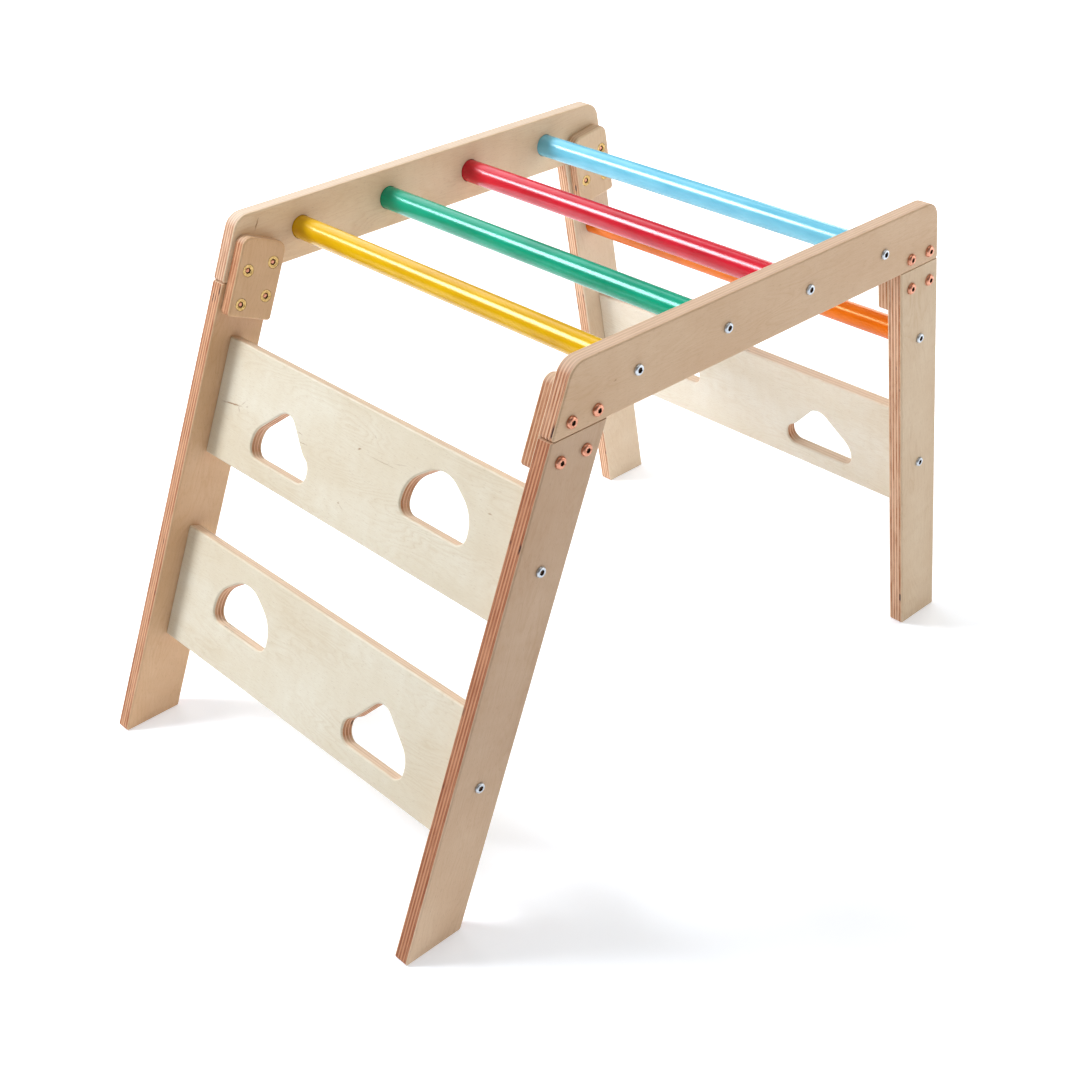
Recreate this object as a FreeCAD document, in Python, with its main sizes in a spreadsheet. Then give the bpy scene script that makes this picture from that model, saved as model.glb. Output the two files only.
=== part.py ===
import FreeCAD, Part
import Sketcher
import math
import os

# A toddler's indoor climbing frame in birch plywood. Two side frames, each a rail on two splayed legs, are
# joined by five round rungs and three panels with hand and foot holes. Everything is bolted, nothing moves.
#
# Axes: X runs across the frame along the rungs, Y runs along the rails, Z is up. The front, where the legs
# splay most and carry two panels, is -Y. The left side frame is at -X and the right one at +X.
# The origin is on the floor in the middle of the four feet. Lengths are in millimetres, angles in degrees.

doc = FreeCAD.newDocument("climbing_frame")
sheet = doc.addObject("Spreadsheet::Sheet", "sizes")

LEFT, RIGHT = -1, 1
SIDES = {"left": LEFT, "right": RIGHT}


# ---------------------------------------------------------------- sizes

class Size:
    """A number together with the sheet formula that gives it, so that it can both place and bind."""

    def __init__(self, value, formula):
        self.value = value
        self.formula = formula

    def __add__(self, other):
        other = as_size(other)
        return Size(self.value + other.value, "(%s + %s)" % (self.formula, other.formula))

    def __sub__(self, other):
        other = as_size(other)
        return Size(self.value - other.value, "(%s - %s)" % (self.formula, other.formula))

    def __mul__(self, other):
        other = as_size(other)
        return Size(self.value * other.value, "%s * %s" % (self.formula, other.formula))

    def __truediv__(self, other):
        other = as_size(other)
        return Size(self.value / other.value, "%s / (%s)" % (self.formula, other.formula))

    def __neg__(self):
        return Size(-self.value, "(-1) * %s" % self.formula)


def as_size(number):
    if isinstance(number, Size):
        return number
    return Size(float(number), "(%r)" % number)


def sine(angle):
    return Size(math.sin(math.radians(angle.value)), "sin(%s)" % angle.formula)


def cosine(angle):
    return Size(math.cos(math.radians(angle.value)), "cos(%s)" % angle.formula)


def tangent(angle):
    return Size(math.tan(math.radians(angle.value)), "tan(%s)" % angle.formula)


sheet_rows = []


def driving(alias, value, meaning):
    """Adds a driving dimension to the sheet and gives it back as a Size."""
    sheet_rows.append(alias)
    row = len(sheet_rows)
    sheet.set("A%d" % row, meaning)
    sheet.set("B%d" % row, str(value))
    sheet.setAlias("B%d" % row, alias)
    return Size(float(value), "sizes." + alias)


overall_width = driving("overall_width", 500, "across the outside of the two side frames")
overall_length = driving("overall_length", 826, "between the outer edges of the feet")
overall_height = driving("overall_height", 532, "floor to the top of the rails")
joint_height = driving("joint_height", 467.5, "floor to the joint between leg and rail")
front_splay = driving("front_splay", 22.9, "lean of the front legs from upright")
rear_splay = driving("rear_splay", 9.4, "lean of the rear legs from upright")
side_ply = driving("side_ply", 18, "thickness of rails and legs")
leg_width = driving("leg_width", 61.5, "width of a leg, square to its edges")
rail_corner = driving("rail_corner", 20, "radius of the rail's top corners")
rail_heel = driving("rail_heel", 3, "radius of the rail's bottom corners")
arris = driving("arris", 2, "rounding along the plywood edges")
leg_top_arris = driving("leg_top_arris", 0.6, "rounding round the top of a leg")

gusset_ply = driving("gusset_ply", 15, "thickness of the corner gussets")
gusset_width = driving("gusset_width", 54, "gusset, across the leg")
gusset_length = driving("gusset_length", 84, "gusset, along the leg")
gusset_front_height = driving("gusset_front_height", 467.5, "floor to the middle of a front gusset")
gusset_rear_height = driving("gusset_rear_height", 463, "floor to the middle of a rear gusset")
gusset_top_corner = driving("gusset_top_corner", 11, "radius of the gusset's upper corners")
gusset_low_corner = driving("gusset_low_corner", 4, "radius of the gusset's lower corners")
gusset_arris = driving("gusset_arris", 2.4, "rounding along the gusset's edges")

rung_diameter = driving("rung_diameter", 25, "round rungs")
rung_inset = driving("rung_inset", 90.5, "end of the rail to the nearest rung, at mid height")
rung_socket = driving("rung_socket", 26, "diameter of the socket that takes a rung's end")
socket_depth = driving("socket_depth", 6, "how far a rung's end sits in the plywood")
rung_end_arris = driving("rung_end_arris", 1, "rounding of the rung's ends")
low_rung_height = driving("low_rung_height", 383, "floor to the rung between the rear legs")

panel_ply = driving("panel_ply", 15, "thickness of the panels")
panel_height = driving("panel_height", 127, "panel, up the slope of the legs")
upper_panel_height = driving("upper_panel_height", 349, "floor to the middle of the upper front panel")
lower_panel_height = driving("lower_panel_height", 155, "floor to the middle of the lower front panel")
rear_panel_height = driving("rear_panel_height", 223.5, "floor to the middle of the rear panel")
cutout_reach = driving("cutout_reach", 115, "middle of the panel to the middle of a hand hole")
dome_base = driving("dome_base", 15, "flat base of a dome hole, below the panel's middle")
peak_base = driving("peak_base", 42, "flat base of a peak hole, below the panel's middle")

bolt_thread = driving("bolt_thread", 6, "outside diameter of every bolt's thread")
bolt_hole = driving("bolt_hole", 6.6, "clearance hole for a bolt")
corner_head = driving("corner_head", 12, "diameter of a corner bolt's button head")
corner_head_height = driving("corner_head_height", 3.3, "height of that head")
corner_head_dome = driving("corner_head_dome", 2.7, "rounding of that head")
corner_key = driving("corner_key", 4, "hexagon key socket of a corner bolt, across flats")
corner_key_depth = driving("corner_key_depth", 2.1, "depth of that socket")
end_head = driving("end_head", 10.5, "diameter of the head of a rung's or panel's bolt")
end_head_height = driving("end_head_height", 2.6, "height of that head")
end_head_dome = driving("end_head_dome", 1.6, "rounding of that head")
end_key = driving("end_key", 5, "hexagon key socket of a rung's or panel's bolt, across flats")
end_key_depth = driving("end_key_depth", 1.8, "depth of that socket")
corner_bolt_length = driving("corner_bolt_length", 32, "bolt through side frame and gusset, under its head")
rung_bolt_length = driving("rung_bolt_length", 40, "bolt into a rung, under its head")
panel_bolt_length = driving("panel_bolt_length", 45, "bolt into a panel, under its head")
rail_bolt_rise = driving("rail_bolt_rise", 12.5, "joint up to the bolts in the rail")
leg_bolt_drop = driving("leg_bolt_drop", 20.5, "joint down to the bolts in the leg")
bolt_spread = driving("bolt_spread", 15.5, "middle of the leg to a corner bolt, level")

flange_diameter = driving("flange_diameter", 13, "flange of a gusset's threaded insert")
flange_ply = driving("flange_ply", 1.2, "thickness of that flange")
flange_recess = driving("flange_recess", 13.6, "counterbore that sinks the flange")
barrel_diameter = driving("barrel_diameter", 9, "outside of a threaded insert")
corner_barrel = driving("corner_barrel", 12, "length of a gusset's insert behind its flange")
drive_width = driving("drive_width", 6, "hexagon drive of a gusset's insert, across flats")
drive_depth = driving("drive_depth", 5, "hexagon drive of a gusset's insert")
end_insert_length = driving("end_insert_length", 20, "threaded insert in the end of a rung or panel")
end_bore_depth = driving("end_bore_depth", 32, "clearance for the bolt beyond that insert")

dowel_diameter = driving("dowel_diameter", 8, "wood dowels between panel and leg")
dowel_reach = driving("dowel_reach", 42, "panel's middle to a dowel, up or down the slope")
dowel_in_leg = driving("dowel_in_leg", 10, "part of a dowel inside the leg")
dowel_in_panel = driving("dowel_in_panel", 20, "part of a dowel inside the panel")

doc.recompute()

half_width = overall_width / 2
inner_half = half_width - side_ply
rail_middle_height = (joint_height + overall_height) / 2


# ---------------------------------------------------------------- the two ends of the frame

class End:
    """One end of the frame: its legs lean by `splay` and its feet stand at `sign` times half the length."""

    def __init__(self, name, sign, splay):
        self.name = name
        self.sign = sign
        self.splay = splay
        self.half_leg = leg_width / cosine(splay) / 2

    def outer_edge(self, height):
        """Y of the leg's and the rail's outer edge at a height above the floor."""
        return (overall_length / 2 - height * tangent(self.splay)) * self.sign

    def leg_middle(self, height):
        return self.outer_edge(height) - self.half_leg * self.sign

    def inner_edge(self, height):
        return self.outer_edge(height) - self.half_leg * 2 * self.sign

    def beside(self, centre, outward, upward):
        """The point at a distance across and along the leg from a centre, as (y, z)."""
        y, z = centre
        across_y = cosine(self.splay) * outward * self.sign
        across_z = sine(self.splay) * outward
        along_y = sine(self.splay) * upward * self.sign
        along_z = cosine(self.splay) * upward
        return (y + across_y - along_y, z + across_z + along_z)


front = End("front", -1, front_splay)
rear = End("rear", 1, rear_splay)
ENDS = (front, rear)


def corner_holes(end, height):
    """The level pair of corner bolts at a height, either side of the leg's middle line."""
    middle = end.leg_middle(height)
    return [(middle - bolt_spread, height), (middle + bolt_spread, height)]


rail_row = joint_height + rail_bolt_rise
leg_row = joint_height - leg_bolt_drop
first_rung = front.outer_edge(rail_middle_height) + rung_inset
last_rung = rear.outer_edge(rail_middle_height) - rung_inset
rung_pitch = (last_rung - first_rung) / 3

top_rungs = [(first_rung + rung_pitch * number, rail_middle_height) for number in range(4)]
low_rung = (rear.leg_middle(low_rung_height), low_rung_height)
RUNGS = dict(zip(("yellow", "green", "red", "blue"), top_rungs), orange=low_rung)


def panel_centre(end, height):
    return (end.leg_middle(height), height)


# name: (end, centre, side on which the peak-shaped hole is)
PANELS = {
    "panel_front_upper": (front, panel_centre(front, upper_panel_height), LEFT),
    "panel_front_lower": (front, panel_centre(front, lower_panel_height), RIGHT),
    "panel_rear": (rear, panel_centre(rear, rear_panel_height), RIGHT),
}


def panels_at(end):
    return [centre for panel_end, centre, _ in PANELS.values() if panel_end is end]


def dowels_beside(end):
    """Places of the wood dowels in one leg, above and below the bolt of each of its panels."""
    return [end.beside(centre, 0, dowel_reach * way) for centre in panels_at(end) for way in (-1, 1)]


# ---------------------------------------------------------------- sketching and features

def bind(item, path, size):
    """Sets a property of a document object to the sheet formula of a size."""
    if isinstance(size, Size):
        item.setExpression(path, size.formula)


def new_body(label):
    body = doc.addObject("PartDesign::Body", label)
    body.Label = label
    return body


def side_body(label, side, gap, thickness):
    """A body whose local X = 0 plane is its lower-X face, with its outer face `gap` in from the outside."""
    body = new_body(label)
    lower_x = half_width - gap - thickness if side == RIGHT else -(half_width - gap)
    body.Placement.Base.x = lower_x.value
    bind(body, "Placement.Base.x", lower_x)
    return body


def new_sketch(body, name, role, offset=None):
    """A sketch on one of the body's own origin planes, moved off it by `offset` along its normal."""
    sketch = body.newObject("Sketcher::SketchObject", name)
    plane = [feature for feature in body.Origin.OriginFeatures if feature.Role == role][0]
    sketch.AttachmentSupport = [(plane, "")]
    sketch.MapMode = "FlatFace"
    if offset is not None:
        sketch.AttachmentOffset = FreeCAD.Placement(FreeCAD.Vector(0, 0, offset.value), FreeCAD.Rotation())
        bind(sketch, "AttachmentOffset.Base.z", offset)
    return sketch


def pin(sketch, geometry, point, x, y):
    """Holds a point of a sketch at x, y from the sketch's origin."""
    for kind, axis, size in (("DistanceX", -2, as_size(x)), ("DistanceY", -1, as_size(y))):
        if size.value == 0:
            sketch.addConstraint(Sketcher.Constraint("PointOnObject", geometry, point, axis))
        else:
            index = sketch.addConstraint(Sketcher.Constraint(kind, -1, 1, geometry, point, size.value))
            bind(sketch, "Constraints[%d]" % index, size)


def add_polygon(sketch, corners):
    """Straight lines from corner to corner, each corner held at its place."""
    places = [FreeCAD.Vector(as_size(x).value, as_size(y).value, 0) for x, y in corners]
    lines = []
    for number, place in enumerate(places):
        following = places[(number + 1) % len(places)]
        lines.append(sketch.addGeometry(Part.LineSegment(place, following), False))
    for number, line in enumerate(lines):
        sketch.addConstraint(Sketcher.Constraint("Coincident", lines[number - 1], 2, line, 1))
        pin(sketch, line, 1, *corners[number])


def add_circles(sketch, centres, diameter):
    for y, z in centres:
        centre = FreeCAD.Vector(as_size(y).value, as_size(z).value, 0)
        circle = Part.Circle(centre, FreeCAD.Vector(0, 0, 1), diameter.value / 2)
        geometry = sketch.addGeometry(circle, False)
        index = sketch.addConstraint(Sketcher.Constraint("Diameter", geometry, diameter.value))
        bind(sketch, "Constraints[%d]" % index, diameter)
        pin(sketch, geometry, 3, y, z)


def add_hexagons(sketch, centres, across_flats):
    """Hexagons with their corners on a circle, for key sockets."""
    across_corners = across_flats / math.cos(math.radians(30))
    for y, z in centres:
        place = FreeCAD.Vector(y.value, z.value, 0)
        round_it = Part.Circle(place, FreeCAD.Vector(0, 0, 1), across_corners.value / 2)
        circle = sketch.addGeometry(round_it, True)
        index = sketch.addConstraint(Sketcher.Constraint("Diameter", circle, across_corners.value))
        bind(sketch, "Constraints[%d]" % index, across_corners)
        pin(sketch, circle, 3, y, z)
        corners = []
        for number in range(6):
            turn = math.radians(60 * number)
            corners.append(place + FreeCAD.Vector(math.cos(turn), math.sin(turn), 0) * (across_corners.value / 2))
        lines = []
        for number in range(6):
            side = Part.LineSegment(corners[number], corners[(number + 1) % 6])
            lines.append(sketch.addGeometry(side, False))
        for number, line in enumerate(lines):
            sketch.addConstraint(Sketcher.Constraint("Coincident", lines[number - 1], 2, line, 1))
            sketch.addConstraint(Sketcher.Constraint("PointOnObject", line, 1, circle))
        for line in lines[1:]:
            sketch.addConstraint(Sketcher.Constraint("Equal", lines[0], line))
        sketch.addConstraint(Sketcher.Constraint("Horizontal", lines[1]))


def rounded_outline(corners):
    """Lines and tangent arcs round a closed outline given as (x, y, corner radius)."""
    points = [FreeCAD.Vector(x, y, 0) for x, y, _ in corners]
    starts, ends, arcs = [], [], []
    for number, point in enumerate(points):
        back = (points[number - 1] - point).normalize()
        onward = (points[(number + 1) % len(points)] - point).normalize()
        radius = corners[number][2]
        half_angle = back.getAngle(onward) / 2
        reach = radius / math.tan(half_angle)
        inward = (back + onward).normalize()
        middle = point + inward * (radius / math.sin(half_angle) - radius)
        ends.append(point + back * reach)
        starts.append(point + onward * reach)
        arcs.append(Part.Arc(ends[-1], middle, starts[-1]))
    pieces = []
    for number, arc in enumerate(arcs):
        pieces.append(arc)
        following = (number + 1) % len(arcs)
        pieces.append(Part.LineSegment(starts[number], ends[following]))
    return pieces


def pad(body, sketch, name, length, towards=1, symmetric=False):
    """Pads a sketch along its normal (towards = 1), against it (-1) or to both sides alike."""
    feature = body.newObject("PartDesign::Pad", name)
    feature.Profile = sketch
    feature.Length = length.value
    feature.Reversed = towards < 0
    if symmetric:
        feature.SideType = "Symmetric"
    bind(feature, "Length", length)
    doc.recompute()
    return feature


def pocket(body, sketch, name, depth=None, towards=1):
    """Cuts a sketch along its normal (towards = 1) or against it (-1), right through if no depth is given."""
    volume_before = body.Shape.Volume
    feature = body.newObject("PartDesign::Pocket", name)
    feature.Profile = sketch
    feature.Reversed = towards > 0
    if depth is None:
        feature.Type = "ThroughAll"
    else:
        feature.Length = depth.value
        bind(feature, "Length", depth)
    doc.recompute()
    if body.Shape.Volume > volume_before - 1:
        raise ValueError("%s cuts nothing from %s" % (name, body.Label))
    return feature


def drill(body, name, centres, diameter, role="YZ_Plane", start=None, depth=None, towards=1):
    sketch = new_sketch(body, name + "_sketch", role, start)
    add_circles(sketch, centres, diameter)
    return pocket(body, sketch, name, depth, towards)


def fillet(body, base, name, radius, edges=None):
    """Rounds the named edges of a feature, or all its edges."""
    feature = body.newObject("PartDesign::Fillet", name)
    feature.Base = (base, edges or ["Edge1"])
    feature.UseAllEdges = edges is None
    feature.Radius = radius.value
    bind(feature, "Radius", radius)
    doc.recompute()
    return feature


def edges_through(feature, corners):
    """Names of the edges along X whose (y, z) is one of the corners."""
    names = []
    for number, edge in enumerate(feature.Shape.Edges, 1):
        ends = [(vertex.Y, vertex.Z) for vertex in edge.Vertexes]
        for y, z in corners:
            if all(math.dist(end, (y.value, z.value)) < 0.01 for end in ends):
                names.append("Edge%d" % number)
    return names


def edges_level(feature, x):
    """Names of the edges that lie wholly in the plane at a local X."""
    names = []
    for number, edge in enumerate(feature.Shape.Edges, 1):
        box = edge.BoundBox
        if abs(box.XMin - x) < 0.001 and abs(box.XMax - x) < 0.001:
            names.append("Edge%d" % number)
    return names


def inner_start(side, thickness):
    """Sketch offset of the face that looks into the frame, in a side body."""
    return as_size(0) if side == RIGHT else thickness


# ---------------------------------------------------------------- side frames

def make_rail(name, side):
    """The rail: its slanted ends carry on the line of the legs, its top corners are well rounded."""
    body = side_body("rail_" + name, side, as_size(0), side_ply)
    low_front = (front.outer_edge(joint_height), joint_height)
    low_rear = (rear.outer_edge(joint_height), joint_height)
    top_rear = (rear.outer_edge(overall_height), overall_height)
    top_front = (front.outer_edge(overall_height), overall_height)
    sketch = new_sketch(body, "outline", "YZ_Plane")
    add_polygon(sketch, [low_front, low_rear, top_rear, top_front])
    board = pad(body, sketch, "board", side_ply)
    board = fillet(body, board, "top_corners", rail_corner, edges_through(board, [top_rear, top_front]))
    board = fillet(body, board, "heel_corners", rail_heel, edges_through(board, [low_rear, low_front]))
    fillet(body, board, "edge_rounding", arris)
    drill(body, "rung_sockets", top_rungs, rung_socket,
          start=inner_start(side, side_ply), depth=socket_depth, towards=side)
    drill(body, "rung_bolt_holes", top_rungs, bolt_hole)
    drill(body, "corner_bolt_holes", corner_holes(front, rail_row) + corner_holes(rear, rail_row), bolt_hole)
    return body


def make_leg(name, side, end):
    """A leg: a straight board cut level at its foot and under the rail."""
    body = side_body("leg_%s_%s" % (end.name, name), side, as_size(0), side_ply)
    foot_outer = (end.outer_edge(as_size(0)), 0)
    foot_inner = (end.inner_edge(as_size(0)), 0)
    top_inner = (end.inner_edge(joint_height), joint_height)
    top_outer = (end.outer_edge(joint_height), joint_height)
    sketch = new_sketch(body, "outline", "YZ_Plane")
    add_polygon(sketch, [foot_outer, foot_inner, top_inner, top_outer])
    board = pad(body, sketch, "board", side_ply)
    top_height = joint_height.value
    top_edges, other_edges = [], []
    for number, edge in enumerate(board.Shape.Edges, 1):
        at_top = edge.BoundBox.ZMin > top_height - 0.01
        (top_edges if at_top else other_edges).append("Edge%d" % number)
    board = fillet(body, board, "edge_rounding", arris, other_edges)
    top_edges = [
        "Edge%d" % number
        for number, edge in enumerate(board.Shape.Edges, 1)
        if edge.BoundBox.ZMin > top_height - 0.01
    ]
    fillet(body, board, "top_rounding", leg_top_arris, top_edges)
    inner = inner_start(side, side_ply)
    drill(body, "corner_bolt_holes", corner_holes(end, leg_row), bolt_hole)
    drill(body, "panel_bolt_holes", panels_at(end), bolt_hole)
    drill(body, "dowel_holes", dowels_beside(end), dowel_diameter,
          start=inner, depth=dowel_in_leg, towards=side)
    if end is rear:
        drill(body, "rung_socket", [low_rung], rung_socket, start=inner, depth=socket_depth, towards=side)
        drill(body, "rung_bolt_hole", [low_rung], bolt_hole)
    return body


def make_gusset(name, side, end):
    """A gusset: a small board inside each corner that ties rail and leg together."""
    body = side_body("gusset_%s_%s" % (end.name, name), side, side_ply, gusset_ply)
    height = gusset_front_height if end is front else gusset_rear_height
    centre = (end.leg_middle(height), height)
    half_across = gusset_width / 2
    half_along = gusset_length / 2
    low_outer = end.beside(centre, half_across, -half_along)
    low_inner = end.beside(centre, -half_across, -half_along)
    top_inner = end.beside(centre, -half_across, half_along)
    top_outer = end.beside(centre, half_across, half_along)
    sketch = new_sketch(body, "outline", "YZ_Plane")
    add_polygon(sketch, [low_outer, low_inner, top_inner, top_outer])
    board = pad(body, sketch, "board", gusset_ply)
    board = fillet(body, board, "top_corners", gusset_top_corner, edges_through(board, [top_inner, top_outer]))
    board = fillet(body, board, "low_corners", gusset_low_corner, edges_through(board, [low_inner, low_outer]))
    fillet(body, board, "edge_rounding", gusset_arris)
    holes = corner_holes(end, rail_row) + corner_holes(end, leg_row)
    inner = inner_start(side, gusset_ply)
    drill(body, "insert_holes", holes, barrel_diameter)
    drill(body, "flange_recesses", holes, flange_recess, start=inner, depth=flange_ply, towards=side)
    return body


# ---------------------------------------------------------------- rungs and panels

def make_rung(colour):
    """A rung: a round bar whose ends sit in shallow sockets and take a threaded insert."""
    body = new_body("rung_" + colour)
    axis = RUNGS[colour]
    half_length = inner_half + socket_depth
    sketch = new_sketch(body, "section", "YZ_Plane")
    add_circles(sketch, [axis], rung_diameter)
    bar = pad(body, sketch, "bar", half_length * 2, symmetric=True)
    ends = edges_level(bar, half_length.value) + edges_level(bar, -half_length.value)
    fillet(body, bar, "end_rounding", rung_end_arris, ends)
    for name, side in SIDES.items():
        end_face = half_length * side
        drill(body, "insert_bore_" + name, [axis], barrel_diameter,
              start=end_face, depth=end_insert_length, towards=-side)
        drill(body, "bolt_bore_" + name, [axis], bolt_hole, start=end_face, depth=end_bore_depth, towards=-side)
    return body


# Outlines of the hand and foot holes, each (x, y, corner radius) from the middle of its flat base.
HOLE_HALF = 46.5
BASE_RADIUS = 12
DOME_OUTLINE = [
    (-HOLE_HALF, 0, BASE_RADIUS),
    (HOLE_HALF, 0, BASE_RADIUS),
    (HOLE_HALF, 32, 35),
    (0, 63.5, 35),
    (-HOLE_HALF, 32, 35),
]
PEAK_OUTLINE = [
    (-HOLE_HALF, 0, BASE_RADIUS),
    (HOLE_HALF, 0, BASE_RADIUS),
    (HOLE_HALF, 26, 26),
    (-1, 66, 17),
    (-34, 29.5, 20),
    (-HOLE_HALF, 22, BASE_RADIUS),
]


def mirrored(outline):
    return [(-x, y, radius) for x, y, radius in reversed(outline)]


def cut_hand_hole(body, name, outline, x, y):
    """Cuts one hole through a panel, with the middle of its base at x, y on the panel."""
    sketch = new_sketch(body, name + "_outline", "XY_Plane")
    offset = FreeCAD.Vector(x.value, y.value, -panel_ply.value)
    sketch.AttachmentOffset = FreeCAD.Placement(offset, FreeCAD.Rotation())
    bind(sketch, "AttachmentOffset.Base.x", x)
    bind(sketch, "AttachmentOffset.Base.y", y)
    bind(sketch, "AttachmentOffset.Base.z", -panel_ply)
    for piece in rounded_outline(outline):
        geometry = sketch.addGeometry(piece, False)
        sketch.addConstraint(Sketcher.Constraint("Block", geometry))
    return pocket(body, sketch, name)


def make_panel(name):
    """A panel: local X across the frame, local Y up the slope, its middle on the legs' middle line."""
    end, (centre_y, centre_z), peak_side = PANELS[name]
    body = new_body(name)
    half_panel = panel_height / 2
    sketch = new_sketch(body, "outline", "XY_Plane")
    add_polygon(sketch, [
        (-inner_half, -half_panel),
        (inner_half, -half_panel),
        (inner_half, half_panel),
        (-inner_half, half_panel),
    ])
    pad(body, sketch, "board", panel_ply, symmetric=True)
    peak_outline = PEAK_OUTLINE if peak_side == RIGHT else mirrored(PEAK_OUTLINE)
    cut_hand_hole(body, "peak_hole", peak_outline, cutout_reach * peak_side, -peak_base)
    board = cut_hand_hole(body, "dome_hole", DOME_OUTLINE, cutout_reach * -peak_side, -dome_base)
    fillet(body, board, "edge_rounding", arris)
    dowels = [(dowel_reach * way, as_size(0)) for way in (-1, 1)]
    for side_name, side in SIDES.items():
        end_face = inner_half * side
        drill(body, "insert_bore_" + side_name, [(as_size(0), as_size(0))], barrel_diameter,
              start=end_face, depth=end_insert_length, towards=-side)
        drill(body, "bolt_bore_" + side_name, [(as_size(0), as_size(0))], bolt_hole,
              start=end_face, depth=end_bore_depth, towards=-side)
        drill(body, "dowel_bores_" + side_name, dowels, dowel_diameter,
              start=end_face, depth=dowel_in_panel, towards=-side)
    slope = as_size(90) + end.splay * end.sign
    place = FreeCAD.Vector(0, centre_y.value, centre_z.value)
    body.Placement = FreeCAD.Placement(place, FreeCAD.Rotation(FreeCAD.Vector(1, 0, 0), slope.value))
    bind(body, "Placement.Base.y", centre_y)
    bind(body, "Placement.Base.z", centre_z)
    bind(body, "Placement.Rotation.Angle", slope)
    return body


# ---------------------------------------------------------------- fasteners

def at_x(body, x):
    body.Placement.Base.x = x.value
    bind(body, "Placement.Base.x", x)


# Each kind of bolt: head diameter, head height, rounding, key socket across flats, its depth.
CORNER_BOLT = (corner_head, corner_head_height, corner_head_dome, corner_key, corner_key_depth)
END_BOLT = (end_head, end_head_height, end_head_dome, end_key, end_key_depth)


def make_bolts(label, side, centres, length, kind):
    """Button-head bolts driven inwards from the outside of a side frame, local X = 0 under their heads."""
    head_diameter, head_height, head_dome, key_width, key_depth = kind
    body = new_body(label)
    shanks = new_sketch(body, "shank_circles", "YZ_Plane")
    add_circles(shanks, centres, bolt_thread)
    pad(body, shanks, "shanks", length, towards=-side)
    heads = new_sketch(body, "head_circles", "YZ_Plane")
    add_circles(heads, centres, head_diameter)
    head = pad(body, heads, "heads", head_height, towards=side)
    fillet(body, head, "domes", head_dome, edges_level(head, head_height.value * side))
    keys = new_sketch(body, "key_hexagons", "YZ_Plane", head_height * side)
    add_hexagons(keys, centres, key_width)
    pocket(body, keys, "key_sockets", key_depth, towards=-side)
    at_x(body, half_width * side)
    return body


def make_gusset_inserts(label, side, centres):
    """Flanged threaded inserts sunk flush into a gusset, local X = 0 at the gusset's inner face."""
    body = new_body(label)
    flanges = new_sketch(body, "flange_circles", "YZ_Plane")
    add_circles(flanges, centres, flange_diameter)
    pad(body, flanges, "flanges", flange_ply, towards=side)
    barrels = new_sketch(body, "barrel_circles", "YZ_Plane")
    add_circles(barrels, centres, barrel_diameter)
    pad(body, barrels, "barrels", flange_ply + corner_barrel, towards=side)
    drill(body, "threads", centres, bolt_thread, towards=side)
    drives = new_sketch(body, "drive_hexagons", "YZ_Plane")
    add_hexagons(drives, centres, drive_width)
    pocket(body, drives, "drives", drive_depth, towards=side)
    at_x(body, (inner_half - gusset_ply) * side)
    return body


def make_sleeves(label, side, centres, start):
    """Plain threaded inserts in the ends of rungs or panels, `start` out from the frame's middle."""
    body = new_body(label)
    rings = new_sketch(body, "ring_circles", "YZ_Plane")
    add_circles(rings, centres, barrel_diameter)
    add_circles(rings, centres, bolt_thread)
    pad(body, rings, "sleeves", end_insert_length, towards=-side)
    at_x(body, start * side)
    return body


def make_dowels(label, side, centres):
    """Wood dowels across the joint between a panel's end and its leg."""
    body = new_body(label)
    circles = new_sketch(body, "dowel_circles", "YZ_Plane")
    add_circles(circles, centres, dowel_diameter)
    pad(body, circles, "dowels", dowel_in_leg + dowel_in_panel, towards=-side)
    at_x(body, (inner_half + dowel_in_leg) * side)
    return body


# ---------------------------------------------------------------- the whole frame

bodies = []
for side_name, side in SIDES.items():
    bodies.append(make_rail(side_name, side))
    for end in ENDS:
        corner = "%s_%s" % (end.name, side_name)
        all_corner_holes = corner_holes(end, rail_row) + corner_holes(end, leg_row)
        bodies.append(make_leg(side_name, side, end))
        bodies.append(make_gusset(side_name, side, end))
        bodies.append(make_bolts("corner_bolts_" + corner, side, all_corner_holes, corner_bolt_length, CORNER_BOLT))
        bodies.append(make_gusset_inserts("gusset_inserts_" + corner, side, all_corner_holes))
        bodies.append(make_bolts("panel_bolts_" + corner, side, panels_at(end), panel_bolt_length, END_BOLT))
        bodies.append(make_sleeves("panel_inserts_" + corner, side, panels_at(end), inner_half))
        bodies.append(make_dowels("panel_dowels_" + corner, side, dowels_beside(end)))
    rungs_start = inner_half + socket_depth
    bodies.append(make_bolts("rung_bolts_" + side_name, side, list(RUNGS.values()), rung_bolt_length, END_BOLT))
    bodies.append(make_sleeves("rung_inserts_" + side_name, side, list(RUNGS.values()), rungs_start))
bodies.extend(make_rung(colour) for colour in RUNGS)
bodies.extend(make_panel(name) for name in PANELS)

doc.recompute()

for item in doc.Objects:
    if "Invalid" in item.State or "Error" in item.State:
        raise ValueError("%s failed: %s" % (item.Label, item.State))
for body in bodies:
    if body.Shape.isNull() or not body.Shape.isValid():
        raise ValueError("%s has no valid shape" % body.Label)

os.makedirs("parts", exist_ok=True)
for body in bodies:
    body.Shape.exportStep("parts/%s.step" % body.Label)
    print("%-32s %d solids %10.0f mm3" % (body.Label, len(body.Shape.Solids), body.Shape.Volume))
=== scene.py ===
# %% [markdown]
# # A toddler's climbing frame
#
# This lesson dresses a finished CAD model of a low wooden climbing frame. The CAD gives every board, rung and
# screw its exact shape and place. Blender adds what CAD can't: the figure of the birch, the stripes of the
# plywood's edges, the gloss of the paint, and screws and inserts with soft, turned edges.
#
# The first cell loads the CAD model. It stays where it is, and everything else is placed from its boxes.

import math
import random

import bmesh
import bpy
from mathutils import Matrix, Vector


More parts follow.
